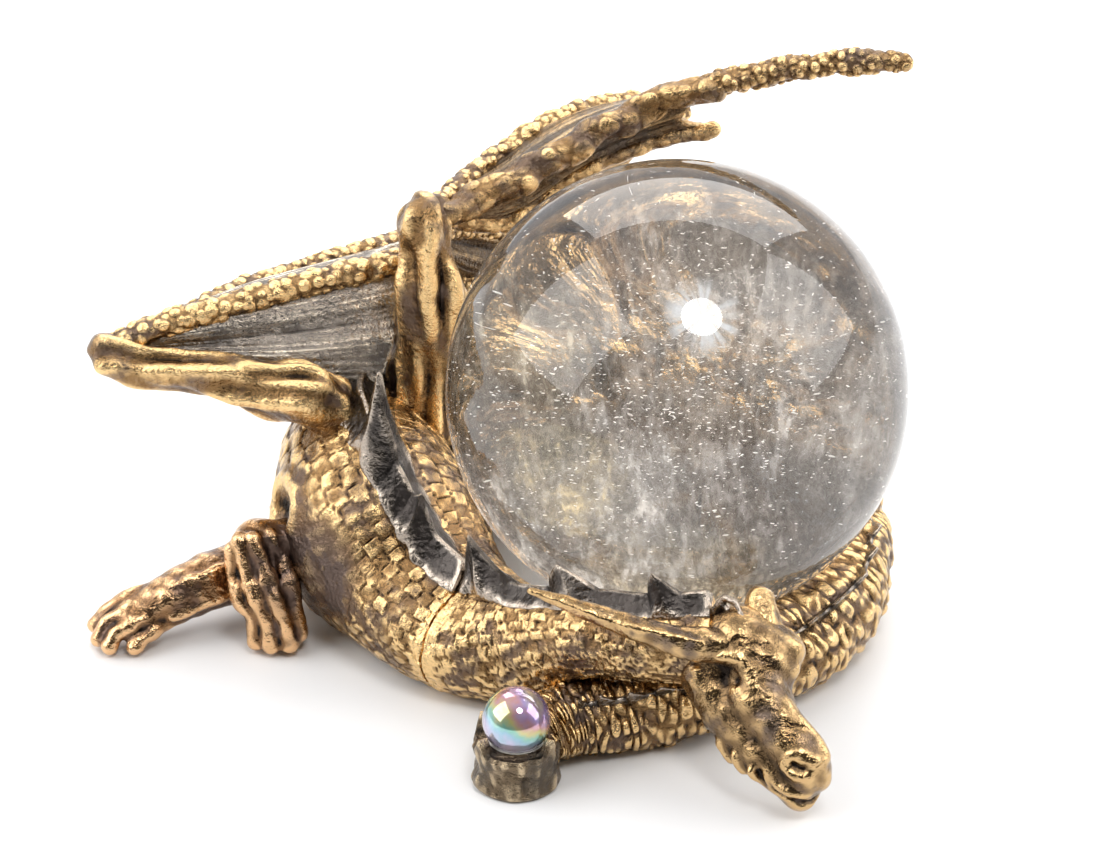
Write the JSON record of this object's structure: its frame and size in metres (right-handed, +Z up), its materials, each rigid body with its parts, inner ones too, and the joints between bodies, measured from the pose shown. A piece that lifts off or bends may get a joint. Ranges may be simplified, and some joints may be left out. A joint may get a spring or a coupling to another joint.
{
  "type": "crystal ball on dragon stand",
  "caption": "Rock-crystal ball resting in the coil of a cast winged dragon, with a glass bead set in its tail tip.",
  "frame": {"origin": "middle of the footprint of the whole object's box, on the table that it stands on", "axes": "+Z up, -Y the front where the dragon's head hangs, +X to the right of a viewer in front"},
  "size_m": [0.1022, 0.0964, 0.0682],
  "materials": {
    "rock_crystal": "polished natural quartz with veils and inclusions",
    "antique_gold": "antiqued gold plate on cast pewter, dark in the recesses",
    "dark_silver": "oxidised silver plate with bright worn edges",
    "worn_pewter": "rough cast, grey pewter showing through worn gold",
    "clear_cement": "clear set adhesive",
    "iridescent_glass": "pearl-coated glass with a rainbow sheen",
    "solder_pewter": "plain pewter, hidden in the joints"
  },
  "bodies": {
    "dragon": {"torso": "antique_gold", "neck": "antique_gold", "head": "antique_gold", "right_horn": "antique_gold", "left_horn": "antique_gold", "neck_crest": "dark_silver", "torso_crest": "dark_silver", "tail": "antique_gold", "tail_crest": "dark_silver", "bead_cup": "worn_pewter", "bead_cement": "clear_cement", "bead": "iridescent_glass", "left_wing_bones": "antique_gold", "left_wing_skin": "antique_gold", "right_wing_bones": "antique_gold", "right_wing_skin": "antique_gold", "raised_foreleg": "antique_gold", "resting_foreleg": "antique_gold", "outer_hind_leg": "antique_gold", "inner_hind_leg": "antique_gold", "neck_peg": "solder_pewter", "head_peg": "solder_pewter", "tail_peg": "solder_pewter"},
    "ball": {"crystal_ball": "rock_crystal"}
  },
  "joints": [
    {"name": "ball_lift", "type": "slide", "parent": "dragon", "child": "ball", "axis": [0, -0.342, 0.9397], "range_m": [0, 0.06]}
  ]
}
